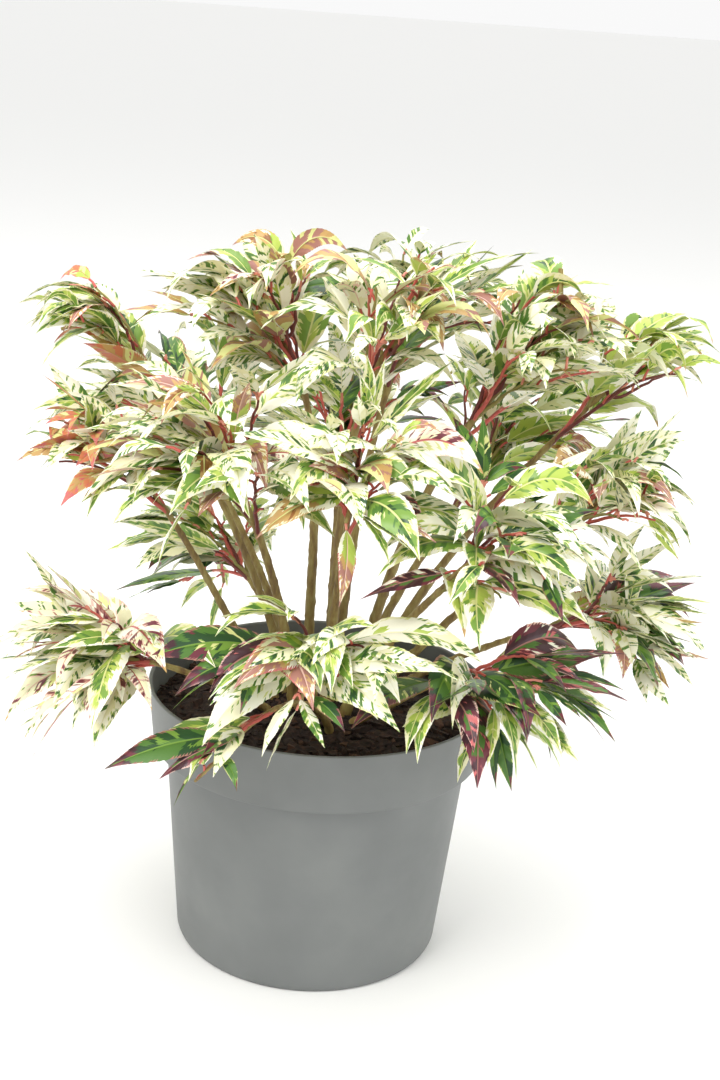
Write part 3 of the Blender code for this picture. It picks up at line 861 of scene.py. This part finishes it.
def pot_material():
    m, tree, shader = node_material("pot_plastic")
    cloud = noise_node(tree, 22, 4, 0.5)
    tree.links.new(ramp(tree, cloud, [(0.25, (104, 107, 106)), (0.5, (112, 115, 114)), (0.75, (120, 123, 121))]),
                   shader.inputs["Base Color"])
    rough = noise_node(tree, 60, 5, 0.6)
    scale = tree.nodes.new("ShaderNodeMapRange")
    scale.inputs["To Min"].default_value = 0.40
    scale.inputs["To Max"].default_value = 0.58
    tree.links.new(rough, scale.inputs["Value"])
    tree.links.new(scale.outputs["Result"], shader.inputs["Roughness"])
    bump(tree, shader, noise_node(tree, 1400, 3, 0.6), 0.10, 0.0003)
    return m


def build_pot():
    outer = [(BASE_R - 0.0035, 0.0), (BASE_R - 0.0010, 0.0004), (BASE_R + 0.0001, 0.0028), (WALL_R, BAND_Z + 0.0004),
             (BAND_R - 0.0012, BAND_Z + 0.0006), (BAND_R, BAND_Z + 0.0012), (RIM_R - 0.0002, POT_HEIGHT - 0.0022), (RIM_R, POT_HEIGHT - 0.0004),
             (RIM_R - 0.0009, POT_HEIGHT), (RIM_R - WALL_T - 0.0002, POT_HEIGHT - 0.0006), (BAND_R - WALL_T, BAND_Z + 0.0026),
             (WALL_R - WALL_T, BAND_Z - 0.0008)]
    profile = rounded(outer, 0.0007)
    lower = [(BASE_R - 0.0035, 0.0), (BASE_R - 0.0060, 0.0010), (BASE_R - 0.0100, 0.0014), (0.0140, 0.0014), (0.0120, 0.0003), (0.0, 0.0003)]
    full = [np.array(p) for p in lower[::-1]] + profile[1:]
    fine = [full[0]]
    for a, b in zip(full, full[1:]):
        k = max(1, int(np.linalg.norm(b - a) / 0.006))
        fine += [a + (b - a) * t for t in np.linspace(0, 1, k + 1)[1:]]
    g = lathe(fine, 160, "pot")
    obj = g.make("pot_shell", [pot_material()])
    mesh = obj.data
    mesh.set_sharp_from_angle(angle=math.radians(50))
    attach(obj, "root")
    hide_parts("pot")


build_pot()


# ---------------------------------------------------------------- compost
def compost_material():
    m, tree, shader = node_material("peat")
    fac = noise_node(tree, 320, 6, 0.65)
    tree.links.new(ramp(tree, fac, [(0.30, (22, 15, 12)), (0.50, (42, 28, 22)), (0.66, (66, 44, 32)), (0.80, (96, 66, 46))]),
                   shader.inputs["Base Color"])
    shader.inputs["Roughness"].default_value = 0.95
    bump(tree, shader, noise_node(tree, 700, 5, 0.7), 0.7, 0.0010)
    return m


def build_compost():
    rng = np.random.RandomState(SEED + 9)
    slope = (RIM_R - BAND_R) / (POT_HEIGHT - BAND_Z)
    top_r = BAND_R - WALL_T + slope * (SOIL_Z - BAND_Z - 0.004) - 0.0002
    rings, steps = 44, 130
    verts, faces = [], []
    for i in range(rings + 1):
        r = top_r * i / rings
        for k in range(steps):
            a = 2 * math.pi * k / steps
            x, y = r * math.cos(a), r * math.sin(a)
            verts.append((x, y, 0.0))
    verts = np.array(verts)
    x, y = verts[:, 0], verts[:, 1]
    r = np.hypot(x, y)
    z = SOIL_Z - 0.0006 + 0.0040 * (noise2(x * 55 + 9, y * 55 + 5) - 0.5) + 0.0030 * (noise2(x * 160 + 3, y * 160) - 0.5)
    z += 0.0022 * (noise2(x * 420, y * 420 + 7) - 0.5) - 0.0012 * smoothstep(top_r * 0.9, top_r, r)
    verts[:, 2] = z
    for i in range(rings):
        for k in range(steps):
            j = (k + 1) % steps
            faces.append((i * steps + k, (i + 1) * steps + k, (i + 1) * steps + j, i * steps + j))
    g = Gather()
    g.add(verts, faces, np.zeros(len(faces)))
    # crumbs, fibres and bits of bark on the surface
    cube = np.array([(-1, -1, -1), (1, -1, -1), (1, 1, -1), (-1, 1, -1), (-1, -1, 1), (1, -1, 1), (1, 1, 1), (-1, 1, 1)], float)
    sides = np.array([(0, 3, 2, 1), (4, 5, 6, 7), (0, 1, 5, 4), (1, 2, 6, 5), (2, 3, 7, 6), (3, 0, 4, 7)])
    for k in range(1500):
        rr, a = top_r * math.sqrt(rng.rand()) * 0.985, rng.rand() * 6.283
        size = 0.0004 + 0.0013 * rng.rand() ** 2.2
        if rr + size > top_r:
            continue
        long = 1 + 2.6 * rng.rand() ** 3
        body = cube * np.array([long, 1, 0.7]) * (1 + 0.35 * rng.randn(8, 3)) * size
        t, p = rng.rand() * 6.283, rng.randn() * 0.4
        R = np.array(Matrix.Rotation(t, 3, "Z") @ Matrix.Rotation(p, 3, "X"))
        px, py = rr * math.cos(a), rr * math.sin(a)
        pz = SOIL_Z - 0.0006 + 0.0040 * (noise2(np.array([px * 55 + 9]), np.array([py * 55 + 5]))[0] - 0.5)
        g.add(body @ R.T + np.array([px, py, pz + size * 0.2]), sides, np.full(6, 0 if rng.rand() < 0.8 else 1))
    crumb = plain("peat_crumb", (74, 50, 36), 0.95)
    obj = g.make("compost_top", [compost_material(), crumb], smooth=False)
    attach(obj, "root")
    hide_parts("compost")


build_compost()


# ---------------------------------------------------------------- floor, light, camera
def stage_material(name, rgb, rough):
    return plain(name, rgb, rough)


def build_stage():
    mesh = bpy.data.meshes.new("floor")
    s = 80.0
    mesh.from_pydata([(-s, -s, 0), (s, -s, 0), (s, s, 0), (-s, s, 0)], [], [(0, 1, 2, 3)])
    mesh.materials.append(stage_material("floor_white", (246, 246, 244), 0.55))
    floor = bpy.data.objects.new("floor", mesh)
    bpy.context.scene.collection.objects.link(floor)
    floor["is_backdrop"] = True


def area(name, at, aim, size, power, colour=(1, 1, 1)):
    light = bpy.data.lights.new(name, "AREA")
    light.shape = "RECTANGLE"
    light.size, light.size_y = size
    light.energy = power
    light.color = colour
    obj = bpy.data.objects.new(name, light)
    obj.location = at
    obj.rotation_euler = (Vector(aim) - Vector(at)).to_track_quat("-Z", "Y").to_euler()
    bpy.context.scene.collection.objects.link(obj)


def build_light():
    world = bpy.data.worlds.new("studio")
    world.use_nodes = True
    back = world.node_tree.nodes["Background"]
    back.inputs["Color"].default_value = (1.0, 1.0, 1.0, 1)
    back.inputs["Strength"].default_value = 0.95
    bpy.context.scene.world = world
    area("key", (-0.9, -1.1, 1.7), (0, 0, 0.2), (0.9, 0.9), 26, (1.0, 0.985, 0.96))
    area("fill", (1.4, -0.6, 0.9), (0, 0, 0.2), (1.2, 1.2), 7, (0.97, 0.98, 1.0))
    area("top", (0.2, 0.6, 1.9), (0, 0, 0.2), (1.2, 1.2), 14)


def build_camera():
    cam = bpy.data.cameras.new("camera")
    cam.sensor_fit = "AUTO"
    cam.sensor_width = 36.0
    cam.lens = LENS_MM
    cam.clip_start = 0.05
    obj = bpy.data.objects.new("camera", cam)
    right = RIGHT * math.cos(ROLL) + UP * math.sin(ROLL)
    top = UP * math.cos(ROLL) - RIGHT * math.sin(ROLL)
    M = Matrix.Identity(4)
    for k in range(3):
        M[k][0], M[k][1], M[k][2], M[k][3] = right[k], top[k], -FWD[k], EYE[k]
    obj.matrix_world = M
    bpy.context.scene.collection.objects.link(obj)
    bpy.context.scene.camera = obj


build_stage()
build_light()
build_camera()
bpy.context.scene.view_settings.view_transform = "Standard"
